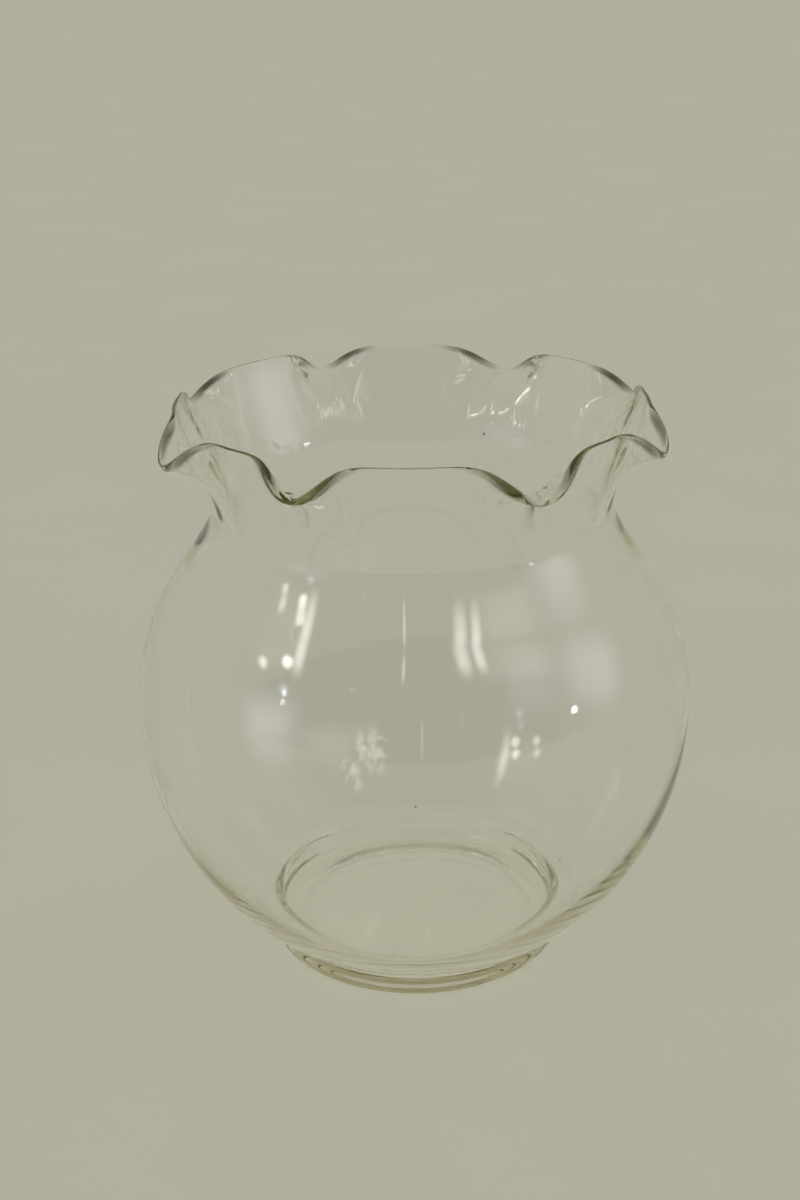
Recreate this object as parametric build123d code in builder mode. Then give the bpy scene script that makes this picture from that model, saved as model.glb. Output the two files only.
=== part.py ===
"""Rose bowl vase: a round clear glass bowl on a low foot, with a waisted neck and a ruffled rim.

Millimetres. +Z is up, the origin is at the centre of the standing ring, and the front looks along -Y.
Profiles are drawn in a half plane: first number the radius, second number the height.
"""
import os
from math import asin, cos, hypot, pi, radians, sin, tan

from build123d import *

# foot: a low thin-walled cup with rounded edges, on a standing ring round a shallow hollow
foot_radius = 42.4
foot_height = 9.0
foot_wall = 2.6
foot_edge_radius = 3.0
ring_width = 4.9
hollow_slope_width = 7.5
hollow_depth = 0.8
hollow_pull = 3.5
floor_thickness = 3.6
well_edge_radius = 3.0

# bowl: two half ellipses that meet at the belly, with a wall that grows thicker towards the heel; the lower one
# would close at a depth below the standing ring
bowl_radius = 76.6
belly_height = 74.1
bowl_sink = 6.9
bowl_upper_reach = 68.6
bowl_wall = 1.6
heel_wall = 3.8
heel_height = 11.5
heel_pull = 1.6
inner_heel_height = 13.5
inner_heel_pull = 3.0
well_pull = 2.2

# neck: from the shoulder seam up to the waist
shoulder_height = 112.5
neck_radius = 54.0
neck_rise = 16.8
neck_wall = 1.4
shoulder_pull = 2.7
neck_pull = 3.6

# rim: the middle line of its edge at the peaks, the edge's thickness, which swells on the flanks of the dips,
# and how the wall runs up to it
peak_radius = 62.3
peak_height = 157.5
peak_lip = 0.8
dip_lip = 1.8
flank_swell = 2.0
peak_slope = 80.0
waist_pull = 6.2
lip_pull = 11.0

# dips of the rim: how far a dip of share 1 is pushed out and down, and how sharply it bends
dip_reach = 5.0
dip_drop = 10.0
dip_sharpness = 4
# each dip, in degrees and shares: angle from the front counted to the right, share of the reach,
# share of the drop, half width, slope of the edge
dips = [
    (26.3, 1.08, 0.89, 22.0, -28.0),
    (68.5, 1.12, 0.83, 19.8, 10.0),
    (112.5, 1.20, 0.70, 18.4, 12.0),
    (155.3, 1.24, 0.78, 22.0, 6.0),
    (202.5, 1.16, 0.69, 17.5, 12.0),
    (247.5, 1.08, 0.78, 18.4, 10.0),
    (295.0, 1.24, 0.88, 19.6, 8.0),
    (334.9, 1.06, 0.77, 18.2, -2.0),
]
full_turn = 360.0
# the rim is lofted in two half turns, which meet at this angle and opposite it
rim_seam_angle = 90.0
rim_sections_per_half = 40


def wall_angle(reach, height):
    """Angle on the wall's ellipse, from the belly, at a height."""
    return asin((height - belly_height) / reach)


def wall_point(radius, reach, height):
    """Point of a wall at a height."""
    return (radius * cos(wall_angle(reach, height)), height)


def wall_heading(radius, reach, height):
    """Direction of a wall at a height, going up."""
    angle = wall_angle(reach, height)
    return (-radius * sin(angle), reach * cos(angle))


def unit(heading):
    """The same direction with length 1."""
    length = hypot(*heading)
    return (heading[0] / length, heading[1] / length)


def ahead(point, heading, distance):
    """Point a distance further along a heading."""
    return (point[0] + distance * heading[0], point[1] + distance * heading[1])


def wall_curve(radius, reach, low, high):
    """Stretch of a wall between two heights, on its ellipse."""
    start, end = wall_point(radius, reach, low), wall_point(radius, reach, high)
    pull = 4 / 3 * tan((wall_angle(reach, high) - wall_angle(reach, low)) / 4)
    Bezier(
        start,
        ahead(start, wall_heading(radius, reach, low), pull),
        ahead(end, wall_heading(radius, reach, high), -pull),
        end,
    )


def slope_heading(slope):
    """Unit direction that leaves the axis at a slope above the horizontal."""
    return (cos(radians(slope)), sin(radians(slope)))


# foot
bowl_lower_reach = belly_height + bowl_sink
inner_radius = bowl_radius - bowl_wall
inner_lower_reach = bowl_lower_reach - heel_wall
inner_upper_reach = bowl_upper_reach - bowl_wall
floor_height = hollow_depth + floor_thickness
foot_top = (foot_radius, foot_height)
well_radius = foot_radius - foot_wall
well_top = (well_radius, foot_height)
hollow_radius = foot_radius - ring_width
hollow_top = (hollow_radius - hollow_slope_width, hollow_depth)
ring_inner = (hollow_radius, 0)
with BuildPart() as foot:
    with BuildSketch(Plane.XZ) as foot_profile:
        with BuildLine():
            Polyline((0, floor_height), (0, hollow_depth), hollow_top)
            Bezier(
                hollow_top,
                ahead(hollow_top, (1, 0), hollow_pull),
                ahead(ring_inner, (-1, 0), hollow_pull),
                ring_inner,
            )
            Polyline(
                ring_inner,
                (foot_radius, 0),
                foot_top,
                well_top,
                (well_radius, floor_height),
                (0, floor_height),
            )
        make_face()
        fillet(foot_profile.vertices().sort_by_distance((foot_radius, 0))[0], foot_edge_radius)
        fillet(foot_profile.vertices().sort_by_distance((well_radius, floor_height))[0], well_edge_radius)
    revolve(axis=Axis.Z)
foot.part.label = "foot"

# bowl
heel_point = wall_point(bowl_radius, bowl_lower_reach, heel_height)
heel_heading = unit(wall_heading(bowl_radius, bowl_lower_reach, heel_height))
inner_heel = wall_point(inner_radius, inner_lower_reach, inner_heel_height)
inner_heel_heading = unit(wall_heading(inner_radius, inner_lower_reach, inner_heel_height))
shoulder_point = wall_point(bowl_radius, bowl_upper_reach, shoulder_height)
shoulder_inner = wall_point(inner_radius, inner_upper_reach, shoulder_height)
with BuildPart() as bowl:
    with BuildSketch(Plane.XZ):
        with BuildLine():
            Line(well_top, foot_top)
            Bezier(
                foot_top,
                ahead(foot_top, (0, 1), heel_pull),
                ahead(heel_point, heel_heading, -heel_pull),
                heel_point,
            )
            wall_curve(bowl_radius, bowl_lower_reach, heel_height, belly_height)
            wall_curve(bowl_radius, bowl_upper_reach, belly_height, shoulder_height)
            Line(shoulder_point, shoulder_inner)
            wall_curve(inner_radius, inner_upper_reach, belly_height, shoulder_height)
            wall_curve(inner_radius, inner_lower_reach, inner_heel_height, belly_height)
            Bezier(
                inner_heel,
                ahead(inner_heel, inner_heel_heading, -inner_heel_pull),
                ahead(well_top, (0, 1), well_pull),
                well_top,
            )
        make_face()
    revolve(axis=Axis.Z)
bowl.part.label = "bowl"

# neck
neck_height = shoulder_height + neck_rise
neck_inner_radius = neck_radius - neck_wall
shoulder_heading = unit(wall_heading(bowl_radius, bowl_upper_reach, shoulder_height))
inner_heading = unit(wall_heading(inner_radius, inner_upper_reach, shoulder_height))
with BuildPart() as neck:
    with BuildSketch(Plane.XZ):
        with BuildLine():
            Bezier(
                shoulder_point,
                ahead(shoulder_point, shoulder_heading, shoulder_pull),
                (neck_radius, neck_height - neck_pull),
                (neck_radius, neck_height),
            )
            Line((neck_radius, neck_height), (neck_inner_radius, neck_height))
            Bezier(
                (neck_inner_radius, neck_height),
                (neck_inner_radius, neck_height - neck_pull),
                ahead(shoulder_inner, inner_heading, shoulder_pull),
                shoulder_inner,
            )
            Line(shoulder_inner, shoulder_point)
        make_face()
    revolve(axis=Axis.Z)
neck.part.label = "neck"


def meridian(angle):
    """Half plane through the axis at an angle from the front: x leaves the axis, y is up."""
    turn = radians(angle)
    return Plane(origin=(0, 0, 0), x_dir=(sin(turn), -cos(turn), 0), z_dir=(-cos(turn), -sin(turn), 0))


def ruffle(angle):
    """How far the rim's edge is pushed out and down at an angle, its slope and its thickness."""
    for dip_angle, reach_share, drop_share, half_width, dip_slope in dips:
        away = (angle - dip_angle + full_turn / 2) % full_turn - full_turn / 2
        if abs(away) < half_width:
            share = cos(pi / 2 * away / half_width) ** dip_sharpness
            slope = peak_slope + share * (dip_slope - peak_slope)
            lip = peak_lip + share * (dip_lip - peak_lip) + 4 * share * (1 - share) * flank_swell
            return dip_reach * reach_share * share, dip_drop * drop_share * share, slope, lip
    return 0, 0, peak_slope, peak_lip


def rim_section(angle):
    """Wall of the rim in the half plane at an angle."""
    reach, drop, slope, lip = ruffle(angle)
    heading = slope_heading(slope)
    outward = (heading[1], -heading[0])
    edge = (peak_radius + reach, peak_height - drop)
    lip_outer = ahead(edge, outward, lip / 2)
    lip_inner = ahead(edge, outward, -lip / 2)
    wall = max(lip, neck_wall)
    wall_outer = ahead(edge, outward, wall / 2)
    wall_inner = ahead(edge, outward, -wall / 2)
    with BuildSketch(meridian(angle)) as section:
        with BuildLine():
            Bezier(
                (neck_radius, neck_height),
                (neck_radius, neck_height + waist_pull),
                ahead(wall_outer, heading, -lip_pull),
                lip_outer,
            )
            ThreePointArc(lip_outer, ahead(edge, heading, lip / 2), lip_inner)
            Bezier(
                lip_inner,
                ahead(wall_inner, heading, -lip_pull),
                (neck_inner_radius, neck_height + waist_pull),
                (neck_inner_radius, neck_height),
            )
            Line((neck_inner_radius, neck_height), (neck_radius, neck_height))
        make_face()
    return section.sketch


# ruffled rim
half_turn = full_turn / 2
with BuildPart() as ruffled_rim:
    for half_start in (rim_seam_angle, rim_seam_angle + half_turn):
        steps = [half_turn * number / rim_sections_per_half for number in range(rim_sections_per_half + 1)]
        loft([rim_section(half_start + step) for step in steps])
ruffled_rim.part.label = "ruffled_rim"

os.makedirs("parts", exist_ok=True)
for piece in (foot, bowl, neck, ruffled_rim):
    export_step(piece.part, f"parts/{piece.part.label}.step")
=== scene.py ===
"""Rose bowl vase in clear glass: a blown bowl on a low foot with a crimped rim, on a pale studio floor."""
from math import asin, atan2, cos, degrees, hypot, pi, radians, sin, tan

import bmesh
import bpy
from mathutils import Euler, Matrix, Vector


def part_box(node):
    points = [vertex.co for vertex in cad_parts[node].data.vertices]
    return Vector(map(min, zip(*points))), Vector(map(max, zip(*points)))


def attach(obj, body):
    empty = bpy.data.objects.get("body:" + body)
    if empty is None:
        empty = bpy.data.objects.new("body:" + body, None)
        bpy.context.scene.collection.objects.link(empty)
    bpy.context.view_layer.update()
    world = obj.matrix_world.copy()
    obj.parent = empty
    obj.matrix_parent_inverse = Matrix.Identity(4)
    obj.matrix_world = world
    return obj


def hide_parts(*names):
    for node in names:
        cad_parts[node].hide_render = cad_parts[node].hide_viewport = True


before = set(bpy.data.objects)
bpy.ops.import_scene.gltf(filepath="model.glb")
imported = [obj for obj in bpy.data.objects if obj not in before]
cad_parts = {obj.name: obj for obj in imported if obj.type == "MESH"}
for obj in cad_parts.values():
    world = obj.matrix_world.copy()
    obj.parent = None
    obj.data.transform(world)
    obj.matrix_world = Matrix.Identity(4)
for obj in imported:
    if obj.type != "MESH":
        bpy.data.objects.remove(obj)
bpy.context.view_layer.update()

# Sizes are in metres and angles in degrees. These come from the frame.
foot_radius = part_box("foot")[1].x
foot_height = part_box("foot")[1].z
bowl_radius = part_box("bowl")[1].x
shoulder_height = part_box("bowl")[1].z
neck_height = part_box("neck")[1].z

# foot: a low thin-walled cup with rounded edges, on a standing ring round a shallow hollow
foot_wall = 0.0026
foot_edge_radius = 0.0030
hollow_radius = 0.0375
hollow_top_radius = 0.0300
hollow_depth = 0.0008
hollow_pull = 0.0035
floor_thickness = 0.0036
well_edge_radius = 0.0030

# bowl: two half ellipses that meet at the belly, with a wall that grows thicker towards the heel
belly_height = 0.0741
bowl_lower_reach = 0.0810
bowl_upper_reach = 0.0686
bowl_wall = 0.0016
heel_wall = 0.0038
heel_height = 0.0115
heel_pull = 0.0016
inner_heel_height = 0.0135
inner_heel_pull = 0.0030
well_pull = 0.0022

# neck
neck_radius = 0.0540
neck_wall = 0.0014
shoulder_pull = 0.0027
neck_pull = 0.0036

# rim: the middle line of its edge at the peaks, the edge's thickness, which swells on the flanks of the
# dips, and how the wall runs up to it
peak_radius = 0.0623
peak_height = 0.1575
peak_lip = 0.0008
dip_lip = 0.0018
flank_swell = 0.0020
peak_slope = 80.0
waist_pull = 0.0062
lip_pull = 0.0110

# dips of the rim: angle from the front counted to the right, outward reach, drop, half width, slope of
# the edge
dip_sharpness = 4
dips = [
    (26.3, 0.00540, 0.0089, 22.0, -28.0),
    (68.5, 0.00560, 0.0083, 19.8, 10.0),
    (112.5, 0.00600, 0.0070, 18.4, 12.0),
    (155.3, 0.00620, 0.0078, 22.0, 6.0),
    (202.5, 0.00580, 0.0069, 17.5, 12.0),
    (247.5, 0.00540, 0.0078, 18.4, 10.0),
    (295.0, 0.00620, 0.0088, 19.6, 8.0),
    (334.9, 0.00530, 0.0077, 18.2, -2.0),
]

# mesh: points round the vase and along each stretch of its wall
points_round = 352
wall_points = 22
neck_points = 24
rim_points = 36
lip_points = 12
corner_points = 5
pole_radius = 0.0015
# the pull that turns a curve into a quarter round, as a share of its radius
round_share = 0.55

# slow waves of the blown wall: their size, where each side of the wall starts them, and for each wave the
# number round the vase, the share of the start, the twist up the wall and the strength
wave_size = 0.00007
outer_wave = 0.6
inner_wave = 2.3
waves = [(3, 1, 9, 1.0), (5, -2, -14, 0.7), (8, 3, 0, 0.5)]

# how far from the middle of the rim's edge its rounding counts, as a share of the edge's thickness, for the
# mask of the painted shade on the flanks
edge_share = 0.55

# glass: the tint of its thickness, and painted shade on the thick flank edges of the rim, where the darkening
# that light gets there is painted into the glass colour as olive
glass_index = 1.5
glass_tint = (0.66, 0.655, 0.30)
tint_density = 10.0
# painted shade: olive darkening painted on the flank edges of the rim
flank_painted_shade = (0.13, 0.13, 0.09)
# light runs a long way inside the glass before it leaves
glass_bounces = 160
# tiny specks: cells per metre, radius as a share of a cell, share of cells without one, colour
speck_cells = 90.0
speck_radius = 0.035
bare_cells = 0.9
speck_colour = (0.12, 0.11, 0.08)
# soft smears: size and detail of the clouds, the cloud values where a smear starts and is full, its roughness
smear_scale = 16.0
smear_detail = 4.0
smear_start = 0.52
smear_full = 0.80
smear_roughness = 0.05

# stage: the khaki sheet under and behind the vase, and the dim room in front of it and above, as the glass
# shows them
floor_radius = 12.0
floor_sides = 96
floor_roughness = 0.9
grain_scale = 9.0
grain_detail = 8.0
grain_contrast = 0.03
khaki = (0.4425, 0.4260, 0.3440)
room_shade = (0.100, 0.098, 0.075)
room_heading = (0.0, -0.95, 0.31)
sheet_end = 0.10
room_start = 0.55
# the soft light from above and the even fill add up to a floor that renders in its own colour
fill_share = 0.02
overhead_spread = 60.0

# windows and lamps of the room, which show in the glass only: azimuth from the front counted to the right
# and elevation of the middle of the upper edge, then of the lower edge, width, brightness, colour
warm_light = (1.0, 0.98, 0.90)
cool_light = (0.84, 0.90, 1.0)
window_distance = 2.0
# how far in from its edges a window reaches full brightness, as a share of its width
window_fade = 0.42
windows = {
    "left_strip": (-67.0, 50.0, -54.0, 27.0, 6.5, 4.6, warm_light),
    "left_pane": (-80.0, 44.0, -62.0, 24.0, 30.0, 0.5, warm_light),
    "left_lamp": (-62.6, 35.6, -62.4, 30.0, 6.0, 14.0, warm_light),
    "left_far_lamp": (-73.4, 30.0, -73.0, 24.6, 5.6, 7.0, warm_light),
    "left_cool_lamp": (-58.0, 25.0, -57.6, 19.8, 5.5, 3.0, cool_light),
    "left_low_pane": (-66.0, 22.0, -54.0, -1.8, 38.0, 0.8, cool_light),
    "left_spot": (-28.3, 33.0, -28.1, 29.8, 3.2, 1.2, cool_light),
    "right_strip": (26.4, 56.0, 25.2, 34.0, 8.0, 4.0, warm_light),
    "right_second_strip": (35.8, 54.0, 33.4, 34.0, 6.0, 4.4, warm_light),
    "right_high_lamp": (49.0, 57.0, 49.0, 47.0, 9.0, 4.0, warm_light),
    "right_pane": (58.0, 46.0, 48.0, 26.0, 40.0, 1.0, warm_light),
    "right_low_pane": (92.0, 32.0, 71.0, 3.0, 40.0, 1.2, cool_light),
    "right_lamp": (65.7, 10.6, 65.5, 7.0, 3.6, 24.0, cool_light),
    "front_strip": (-5.7, 51.0, -5.7, 34.0, 1.8, 3.0, warm_light),
}

# camera: fitted to the photograph, an 800 by 1200 frame
camera_target = (-0.00368, 0.0, 0.10083)
camera_distance = 0.469
camera_elevation = 21.52
camera_roll = -0.75
camera_lens = 51.0
camera_sensor = 36.0


def along(point, heading, distance):
    """Point a distance further along a heading."""
    return (point[0] + distance * heading[0], point[1] + distance * heading[1])


def unit(heading):
    """The same direction with length 1."""
    length = hypot(*heading)
    return (heading[0] / length, heading[1] / length)


def curve(start, start_pull, end_pull, end, count):
    """Points of a smooth curve between two points, without the first one."""
    points = []
    for number in range(1, count + 1):
        t = number / count
        s = 1 - t
        weights = (s**3, 3 * s * s * t, 3 * s * t * t, t**3)
        corners = (start, start_pull, end_pull, end)
        points.append(tuple(sum(w * c[axis] for w, c in zip(weights, corners)) for axis in (0, 1)))
    return points


def wall_angle(reach, height):
    """Angle on a wall's ellipse, from the belly, at a height."""
    return asin((height - belly_height) / reach)


def wall_point(radius, reach, height):
    """Point of a wall at a height."""
    return (radius * cos(wall_angle(reach, height)), height)


def wall_heading(radius, reach, height):
    """Direction of a wall at a height, going up."""
    angle = wall_angle(reach, height)
    return unit((-radius * sin(angle), reach * cos(angle)))


def wall_points_between(radius, reach, start, end, count):
    """Points of a wall between two heights, without the first one, even in angle."""
    first, last = wall_angle(reach, start), wall_angle(reach, end)
    angles = [first + (last - first) * number / count for number in range(1, count + 1)]
    return [(radius * cos(angle), belly_height + reach * sin(angle)) for angle in angles]


def foot_profile():
    """From the middle of the underside, round the standing ring, to the top of the foot."""
    ring_outer = (foot_radius - foot_edge_radius, 0.0)
    side_start = (foot_radius, foot_edge_radius)
    foot_top = (foot_radius, foot_height)
    hollow_top = (hollow_top_radius, hollow_depth)
    ring_inner = (hollow_radius, 0.0)
    round_pull = round_share * foot_edge_radius
    points = [(pole_radius, hollow_depth), (0.5 * hollow_top_radius, hollow_depth), hollow_top]
    points += curve(
        hollow_top,
        along(hollow_top, (1, 0), hollow_pull),
        along(ring_inner, (-1, 0), hollow_pull),
        ring_inner,
        corner_points,
    )
    points += [ring_outer]
    points += curve(
        ring_outer,
        along(ring_outer, (1, 0), round_pull),
        along(side_start, (0, -1), round_pull),
        side_start,
        corner_points,
    )
    points += curve(side_start, side_start, foot_top, foot_top, corner_points)
    return points


def outer_profile():
    """From the top of the foot to the waist of the neck, on the outside."""
    foot_top = (foot_radius, foot_height)
    heel = wall_point(bowl_radius, bowl_lower_reach, heel_height)
    heel_heading = wall_heading(bowl_radius, bowl_lower_reach, heel_height)
    shoulder = wall_point(bowl_radius, bowl_upper_reach, shoulder_height)
    shoulder_heading = wall_heading(bowl_radius, bowl_upper_reach, shoulder_height)
    waist = (neck_radius, neck_height)
    points = curve(
        foot_top,
        along(foot_top, (0, 1), heel_pull),
        along(heel, heel_heading, -heel_pull),
        heel,
        2 * corner_points,
    )
    points += wall_points_between(bowl_radius, bowl_lower_reach, heel_height, belly_height, wall_points)
    points += wall_points_between(bowl_radius, bowl_upper_reach, belly_height, shoulder_height, wall_points)
    points += curve(
        shoulder,
        along(shoulder, shoulder_heading, shoulder_pull),
        along(waist, (0, -1), neck_pull),
        waist,
        neck_points,
    )
    return points


def inner_profile():
    """From the waist of the neck to the middle of the floor, on the inside."""
    radius = bowl_radius - bowl_wall
    lower_reach, upper_reach = bowl_lower_reach - heel_wall, bowl_upper_reach - bowl_wall
    waist = (neck_radius - neck_wall, neck_height)
    shoulder = wall_point(radius, upper_reach, shoulder_height)
    shoulder_heading = wall_heading(radius, upper_reach, shoulder_height)
    heel = wall_point(radius, lower_reach, inner_heel_height)
    heel_heading = wall_heading(radius, lower_reach, inner_heel_height)
    well_top = (foot_radius - foot_wall, foot_height)
    floor_height = hollow_depth + floor_thickness
    well_foot = (well_top[0], floor_height + well_edge_radius)
    floor_edge = (well_top[0] - well_edge_radius, floor_height)
    round_pull = round_share * well_edge_radius
    points = curve(
        waist,
        along(waist, (0, -1), neck_pull),
        along(shoulder, shoulder_heading, shoulder_pull),
        shoulder,
        neck_points,
    )
    points += wall_points_between(radius, upper_reach, shoulder_height, belly_height, wall_points)
    points += wall_points_between(radius, lower_reach, belly_height, inner_heel_height, wall_points)
    points += curve(
        heel,
        along(heel, heel_heading, -inner_heel_pull),
        along(well_top, (0, 1), well_pull),
        well_top,
        2 * corner_points,
    )
    points += curve(well_top, well_top, well_foot, well_foot, corner_points)
    points += curve(
        well_foot,
        along(well_foot, (0, -1), round_pull),
        along(floor_edge, (1, 0), round_pull),
        floor_edge,
        corner_points,
    )
    points += [(0.5 * floor_edge[0], floor_height), (pole_radius, floor_height)]
    return points


def ruffle(angle):
    """How far the rim's edge is pushed out and down at an angle, its slope, thickness and flank share."""
    for dip_angle, reach, drop, half_width, dip_slope in dips:
        away = (angle - dip_angle + 180) % 360 - 180
        if abs(away) < half_width:
            share = cos(pi / 2 * away / half_width) ** dip_sharpness
            slope = peak_slope + share * (dip_slope - peak_slope)
            flank = 4 * share * (1 - share)
            lip = peak_lip + share * (dip_lip - peak_lip) + flank * flank_swell
            return reach * share, drop * share, slope, lip, flank
    return 0.0, 0.0, peak_slope, peak_lip, 0.0


def rim_section(angle):
    """Points of the rim's wall at an angle, up the outside, over the edge and down the inside."""
    reach, drop, slope, lip, flank = ruffle(angle)
    heading = (cos(radians(slope)), sin(radians(slope)))
    outward = (heading[1], -heading[0])
    edge = (peak_radius + reach, peak_height - drop)
    lip_outer = along(edge, outward, lip / 2)
    lip_inner = along(edge, outward, -lip / 2)
    wall = max(lip, neck_wall)
    wall_outer = along(edge, outward, wall / 2)
    wall_inner = along(edge, outward, -wall / 2)
    waist_outer = (neck_radius, neck_height)
    waist_inner = (neck_radius - neck_wall, neck_height)
    points = curve(
        waist_outer,
        along(waist_outer, (0, 1), waist_pull),
        along(wall_outer, heading, -lip_pull),
        lip_outer,
        rim_points,
    )
    for number in range(1, lip_points):
        turn = pi * number / lip_points
        over = along(edge, outward, lip / 2 * cos(turn))
        points.append(along(over, heading, lip / 2 * sin(turn)))
    points.append(lip_inner)
    points += curve(
        lip_inner,
        along(wall_inner, heading, -lip_pull),
        along(waist_inner, (0, 1), waist_pull),
        waist_inner,
        rim_points,
    )
    return points


def waved(point, turn, start):
    """The same point moved by the slow waves of the blown wall, which die out at the foot and waist."""
    radius, height = point
    share = (height - foot_height) / (neck_height - foot_height)
    if not 0 < share < 1:
        return point
    wave = sum(
        strength * sin(number * turn + start_share * start + twist * share)
        for number, start_share, twist, strength in waves
    )
    return (radius + wave_size * sin(pi * share) * wave, height)


def place_ring(vase, points_at):
    """Puts the selected ring of points where points_at(angle) says, as a radius and a height."""
    mesh = bmesh.from_edit_mesh(vase.data)
    mesh.verts.ensure_lookup_table()
    for vertex in mesh.verts[-points_round:]:
        if vertex.select:
            turn = atan2(vertex.co.x, -vertex.co.y)
            radius, height = points_at(turn)
            vertex.co = (radius * sin(turn), -radius * cos(turn), height)
    bmesh.update_edit_mesh(vase.data)


def extrude_ring(vase, points_at):
    """Draws the open edge of the wall on to its next ring."""
    bpy.ops.mesh.extrude_edges_move()
    place_ring(vase, points_at)


def blow_vase():
    """The glass as one closed skin, drawn ring by ring from under the foot, over the rim, to the floor."""
    lower = foot_profile() + outer_profile()
    upper = inner_profile()
    bpy.ops.object.select_all(action="DESELECT")
    bpy.ops.mesh.primitive_circle_add(
        vertices=points_round, radius=lower[0][0], fill_type="TRIFAN", location=(0, 0, lower[0][1])
    )
    vase = bpy.context.active_object
    vase.name = "vase_glass"
    bpy.ops.object.transform_apply(location=True, rotation=True, scale=True)
    bpy.ops.object.mode_set(mode="EDIT")
    bpy.ops.mesh.select_all(action="DESELECT")
    bpy.ops.mesh.select_mode(type="VERT")
    bpy.ops.mesh.select_non_manifold()
    for point in lower[1:]:
        extrude_ring(vase, lambda turn: waved(point, turn, outer_wave))
    sections = {}

    def section(turn):
        key = round(degrees(turn), 3)
        if key not in sections:
            sections[key] = rim_section(key)
        return sections[key]

    for number in range(len(rim_section(0))):
        extrude_ring(vase, lambda turn: section(turn)[number])
    for point in upper:
        extrude_ring(vase, lambda turn: waved(point, turn, inner_wave))
    bpy.ops.mesh.merge(type="CENTER")
    bpy.ops.mesh.select_all(action="SELECT")
    bpy.ops.mesh.remove_doubles(threshold=1e-6)
    bpy.ops.mesh.normals_make_consistent(inside=False)
    bpy.ops.object.mode_set(mode="OBJECT")
    bpy.ops.object.shade_smooth()
    return vase


def mark_painted_flank_shade(vase):
    """Marks how much each point of the rounded edge lies on the flank of a dip: the mask of the painted shade
    on the flank edges.
    """
    flanks = []
    for vertex in vase.data.vertices:
        angle = degrees(atan2(vertex.co.x, -vertex.co.y))
        reach, drop, slope, lip, flank = ruffle(angle)
        off_radius = hypot(vertex.co.x, vertex.co.y) - peak_radius - reach
        off_height = vertex.co.z - peak_height + drop
        flanks.append(flank if hypot(off_radius, off_height) < edge_share * lip else 0.0)
    layer = vase.data.attributes.new("flank", "FLOAT", "POINT")
    layer.data.foreach_set("value", flanks)


def new_material(name):
    """An empty material, its nodes and its links."""
    material = bpy.data.materials.new(name)
    material.use_nodes = True
    nodes = material.node_tree.nodes
    nodes.clear()
    return material, nodes, material.node_tree.links


def speck_group():
    """A few tiny specks in the glass: 1 on a speck, 0 elsewhere."""
    group = bpy.data.node_groups.new("specks", "ShaderNodeTree")
    group.interface.new_socket("Speck", in_out="OUTPUT", socket_type="NodeSocketFloat")
    nodes, links = group.nodes, group.links
    output = nodes.new("NodeGroupOutput")
    place = nodes.new("ShaderNodeTexCoord")
    cells = nodes.new("ShaderNodeTexVoronoi")
    cells.inputs["Scale"].default_value = speck_cells
    links.new(place.outputs["Object"], cells.inputs["Vector"])
    near = nodes.new("ShaderNodeMath")
    near.operation = "LESS_THAN"
    near.inputs[1].default_value = speck_radius
    links.new(cells.outputs["Distance"], near.inputs[0])
    chance = nodes.new("ShaderNodeSeparateColor")
    links.new(cells.outputs["Color"], chance.inputs["Color"])
    rare = nodes.new("ShaderNodeMath")
    rare.operation = "GREATER_THAN"
    rare.inputs[1].default_value = bare_cells
    links.new(chance.outputs["Red"], rare.inputs[0])
    speck = nodes.new("ShaderNodeMath")
    speck.operation = "MULTIPLY"
    links.new(near.outputs["Value"], speck.inputs[0])
    links.new(rare.outputs["Value"], speck.inputs[1])
    links.new(speck.outputs["Value"], output.inputs["Speck"])
    return group


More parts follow.
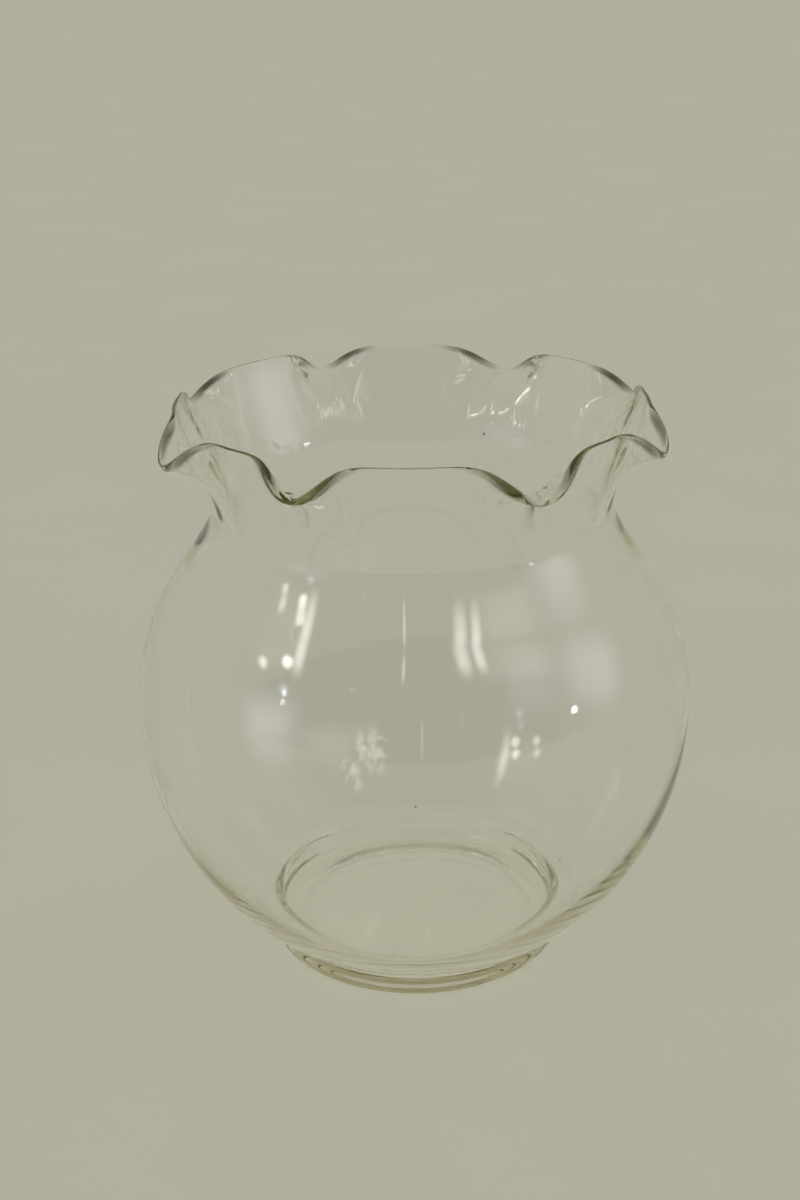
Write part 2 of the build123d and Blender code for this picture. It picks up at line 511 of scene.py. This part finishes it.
def glass_material():
    """Clear glass, faintly olive in its thickness, with painted shade on the flank edges of the rim, smears
    and specks.
    """
    material, nodes, links = new_material("clear_glass")
    output = nodes.new("ShaderNodeOutputMaterial")
    glass = nodes.new("ShaderNodeBsdfPrincipled")
    glass.inputs["Metallic"].default_value = 0.0
    glass.inputs["IOR"].default_value = glass_index
    glass.inputs["Transmission Weight"].default_value = 1.0
    # painted shade: the flank mask darkens the glass colour to olive on the flank edges of the rim
    flank = nodes.new("ShaderNodeAttribute")
    flank.attribute_name = "flank"
    painted_flank_shade = nodes.new("ShaderNodeMix")
    painted_flank_shade.data_type = "RGBA"
    painted_flank_shade.inputs["A"].default_value = (1.0, 1.0, 1.0, 1.0)
    painted_flank_shade.inputs["B"].default_value = (*flank_painted_shade, 1.0)
    links.new(flank.outputs["Fac"], painted_flank_shade.inputs["Factor"])
    specks = nodes.new("ShaderNodeGroup")
    specks.node_tree = speck_group()
    dotted = nodes.new("ShaderNodeMix")
    dotted.data_type = "RGBA"
    dotted.inputs["B"].default_value = (*speck_colour, 1.0)
    links.new(specks.outputs["Speck"], dotted.inputs["Factor"])
    links.new(painted_flank_shade.outputs["Result"], dotted.inputs["A"])
    links.new(dotted.outputs["Result"], glass.inputs["Base Color"])
    place = nodes.new("ShaderNodeTexCoord")
    cloud = nodes.new("ShaderNodeTexNoise")
    cloud.inputs["Scale"].default_value = smear_scale
    cloud.inputs["Detail"].default_value = smear_detail
    links.new(place.outputs["Object"], cloud.inputs["Vector"])
    smear = nodes.new("ShaderNodeMapRange")
    smear.inputs["From Min"].default_value = smear_start
    smear.inputs["From Max"].default_value = smear_full
    smear.inputs["To Max"].default_value = smear_roughness
    links.new(cloud.outputs["Fac"], smear.inputs["Value"])
    links.new(smear.outputs["Result"], glass.inputs["Roughness"])
    path = nodes.new("ShaderNodeLightPath")
    through = nodes.new("ShaderNodeBsdfTransparent")
    mix = nodes.new("ShaderNodeMixShader")
    links.new(path.outputs["Is Shadow Ray"], mix.inputs["Fac"])
    links.new(glass.outputs["BSDF"], mix.inputs[1])
    links.new(through.outputs["BSDF"], mix.inputs[2])
    links.new(mix.outputs["Shader"], output.inputs["Surface"])
    tint = nodes.new("ShaderNodeVolumeAbsorption")
    tint.inputs["Color"].default_value = (*glass_tint, 1.0)
    tint.inputs["Density"].default_value = tint_density
    links.new(tint.outputs["Volume"], output.inputs["Volume"])
    return material


def floor_material():
    """Matt pale khaki board with a faint, uneven grain."""
    material, nodes, links = new_material("khaki_board")
    output = nodes.new("ShaderNodeOutputMaterial")
    board = nodes.new("ShaderNodeBsdfPrincipled")
    board.inputs["Roughness"].default_value = floor_roughness
    board.inputs["Specular IOR Level"].default_value = 0.0
    place = nodes.new("ShaderNodeTexCoord")
    grain = nodes.new("ShaderNodeTexNoise")
    grain.inputs["Scale"].default_value = grain_scale
    grain.inputs["Detail"].default_value = grain_detail
    links.new(place.outputs["Object"], grain.inputs["Vector"])
    tone = nodes.new("ShaderNodeMix")
    tone.data_type = "RGBA"
    tone.inputs["A"].default_value = (*[(1 - grain_contrast) * part for part in khaki], 1.0)
    tone.inputs["B"].default_value = (*[(1 + grain_contrast) * part for part in khaki], 1.0)
    links.new(grain.outputs["Fac"], tone.inputs["Factor"])
    links.new(tone.outputs["Result"], board.inputs["Base Color"])
    links.new(board.outputs["BSDF"], output.inputs["Surface"])
    return material


def lay_floor():
    """A wide pale floor under the vase."""
    bpy.ops.object.select_all(action="DESELECT")
    bpy.ops.mesh.primitive_circle_add(
        vertices=floor_sides, radius=floor_radius, fill_type="NGON", location=(0, 0, 0)
    )
    floor = bpy.context.active_object
    floor.name = "studio_floor"
    floor.data.materials.append(floor_material())
    return floor


def hang_overhead_light():
    """A broad soft light from straight above that shows in no reflection."""
    bpy.ops.object.light_add(type="SUN", location=(0, 0, 3))
    light = bpy.context.active_object
    light.name = "overhead_light"
    light.data.angle = radians(overhead_spread)
    light.data.energy = pi * (1 - fill_share)
    light.data.cycles.use_multiple_importance_sampling = False
    light.visible_camera = False
    light.visible_glossy = False
    light.visible_transmission = False


def soft_edge_group():
    """Brightness over the face of a window: full in the middle, gone at the edges and for the floor."""
    group = bpy.data.node_groups.new("soft_edge", "ShaderNodeTree")
    group.interface.new_socket("Strength", in_out="OUTPUT", socket_type="NodeSocketFloat")
    nodes, links = group.nodes, group.links
    output = nodes.new("NodeGroupOutput")
    face = nodes.new("ShaderNodeNewGeometry")
    across = nodes.new("ShaderNodeSeparateXYZ")
    links.new(face.outputs["Parametric"], across.inputs["Vector"])
    product = nodes.new("ShaderNodeMath")
    product.operation = "MULTIPLY"
    for number, axis in enumerate("XY"):
        other = nodes.new("ShaderNodeMath")
        other.operation = "SUBTRACT"
        other.inputs[0].default_value = 1.0
        links.new(across.outputs[axis], other.inputs[1])
        near = nodes.new("ShaderNodeMath")
        near.operation = "MINIMUM"
        links.new(across.outputs[axis], near.inputs[0])
        links.new(other.outputs["Value"], near.inputs[1])
        fade = nodes.new("ShaderNodeMapRange")
        fade.interpolation_type = "SMOOTHSTEP"
        fade.inputs["From Max"].default_value = window_fade
        links.new(near.outputs["Value"], fade.inputs["Value"])
        links.new(fade.outputs["Result"], product.inputs[number])
    path = nodes.new("ShaderNodeLightPath")
    strength = nodes.new("ShaderNodeMath")
    strength.operation = "SUBTRACT"
    strength.use_clamp = True
    links.new(product.outputs["Value"], strength.inputs[0])
    links.new(path.outputs["Diffuse Depth"], strength.inputs[1])
    links.new(strength.outputs["Value"], output.inputs["Strength"])
    return group


def direction(azimuth, elevation):
    """Unit direction from the vase, by azimuth from the front counted to the right and elevation."""
    turn, tilt = radians(azimuth), radians(elevation)
    return Vector((sin(turn) * cos(tilt), -cos(turn) * cos(tilt), sin(tilt)))


def hang_windows():
    """The soft bright panes that the glass mirrors. They light nothing else."""
    soft_edge = soft_edge_group()
    for name, values in windows.items():
        top_azimuth, top_elevation, low_azimuth, low_elevation, width, brightness, colour = values
        top, low = direction(top_azimuth, top_elevation), direction(low_azimuth, low_elevation)
        away = (top + low).normalized()
        side = (top - low).cross(away).normalized()
        centre = Vector((0, 0, belly_height))
        bpy.ops.object.light_add(type="AREA", location=centre + away * window_distance)
        pane = bpy.context.active_object
        pane.name = name
        pane.rotation_euler = Matrix((side, away.cross(side), away)).transposed().to_euler()
        pane.data.shape = "RECTANGLE"
        pane.data.size = 2 * window_distance * tan(radians(width / 2))
        pane.data.size_y = 2 * window_distance * tan(top.angle(low) / 2)
        pane.data.energy = brightness * pi * pane.data.size * pane.data.size_y
        pane.data.color = colour
        pane.data.use_nodes = True
        nodes = pane.data.node_tree.nodes
        edge = nodes.new("ShaderNodeGroup")
        edge.node_tree = soft_edge
        pane.data.node_tree.links.new(edge.outputs["Strength"], nodes["Emission"].inputs["Strength"])
        pane.visible_camera = False
        pane.visible_diffuse = False


def set_world():
    """An even fill for the floor. The glass shows the khaki sheet behind it and a dim room in front."""
    world = bpy.data.worlds.new("studio_room")
    bpy.context.scene.world = world
    world.use_nodes = True
    nodes, links = world.node_tree.nodes, world.node_tree.links
    nodes.clear()
    output = nodes.new("ShaderNodeOutputWorld")
    place = nodes.new("ShaderNodeTexCoord")
    toward_room = nodes.new("ShaderNodeVectorMath")
    toward_room.operation = "DOT_PRODUCT"
    toward_room.inputs[1].default_value = room_heading
    links.new(place.outputs["Generated"], toward_room.inputs[0])
    fade = nodes.new("ShaderNodeMapRange")
    fade.interpolation_type = "SMOOTHSTEP"
    fade.inputs["From Min"].default_value = sheet_end
    fade.inputs["From Max"].default_value = room_start
    links.new(toward_room.outputs["Value"], fade.inputs["Value"])
    surround = nodes.new("ShaderNodeMix")
    surround.data_type = "RGBA"
    surround.inputs["A"].default_value = (*khaki, 1)
    surround.inputs["B"].default_value = (*room_shade, 1)
    links.new(fade.outputs["Result"], surround.inputs["Factor"])
    room = nodes.new("ShaderNodeBackground")
    links.new(surround.outputs["Result"], room.inputs["Color"])
    sheet = nodes.new("ShaderNodeBackground")
    sheet.inputs["Color"].default_value = (*khaki, 1)
    dome = nodes.new("ShaderNodeBackground")
    dome.inputs["Color"].default_value = (1, 1, 1, 1)
    dome.inputs["Strength"].default_value = fill_share
    path = nodes.new("ShaderNodeLightPath")
    seen = nodes.new("ShaderNodeMixShader")
    links.new(path.outputs["Is Camera Ray"], seen.inputs["Fac"])
    links.new(dome.outputs["Background"], seen.inputs[1])
    links.new(sheet.outputs["Background"], seen.inputs[2])
    mirrored = nodes.new("ShaderNodeMath")
    mirrored.operation = "MAXIMUM"
    links.new(path.outputs["Is Glossy Ray"], mirrored.inputs[0])
    links.new(path.outputs["Is Transmission Ray"], mirrored.inputs[1])
    straight = nodes.new("ShaderNodeMath")
    straight.operation = "SUBTRACT"
    straight.use_clamp = True
    links.new(mirrored.outputs["Value"], straight.inputs[0])
    links.new(path.outputs["Diffuse Depth"], straight.inputs[1])
    mix = nodes.new("ShaderNodeMixShader")
    links.new(straight.outputs["Value"], mix.inputs["Fac"])
    links.new(seen.outputs["Shader"], mix.inputs[1])
    links.new(room.outputs["Background"], mix.inputs[2])
    links.new(mix.outputs["Shader"], output.inputs["Surface"])


def place_camera():
    """The photograph's view: from the front, above the rim, with a slight roll."""
    tilt = radians(camera_elevation)
    back = Vector((0, -cos(tilt), sin(tilt)))
    bpy.ops.object.camera_add(location=Vector(camera_target) + back * camera_distance)
    camera = bpy.context.active_object
    turn = Euler((pi / 2 - tilt, 0, 0)).to_matrix() @ Matrix.Rotation(radians(camera_roll), 3, "Z")
    camera.rotation_euler = turn.to_euler()
    camera.data.lens = camera_lens
    camera.data.sensor_width = camera_sensor
    bpy.context.scene.camera = camera


vase = blow_vase()
mark_painted_flank_shade(vase)
vase.data.materials.append(glass_material())
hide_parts("foot", "bowl", "neck", "ruffled_rim")
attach(vase, "root")

lay_floor()
hang_overhead_light()
hang_windows()
set_world()
place_camera()

scene = bpy.context.scene
scene.view_settings.view_transform = "Standard"
scene.cycles.max_bounces = glass_bounces
scene.cycles.glossy_bounces = glass_bounces
scene.cycles.transmission_bounces = glass_bounces
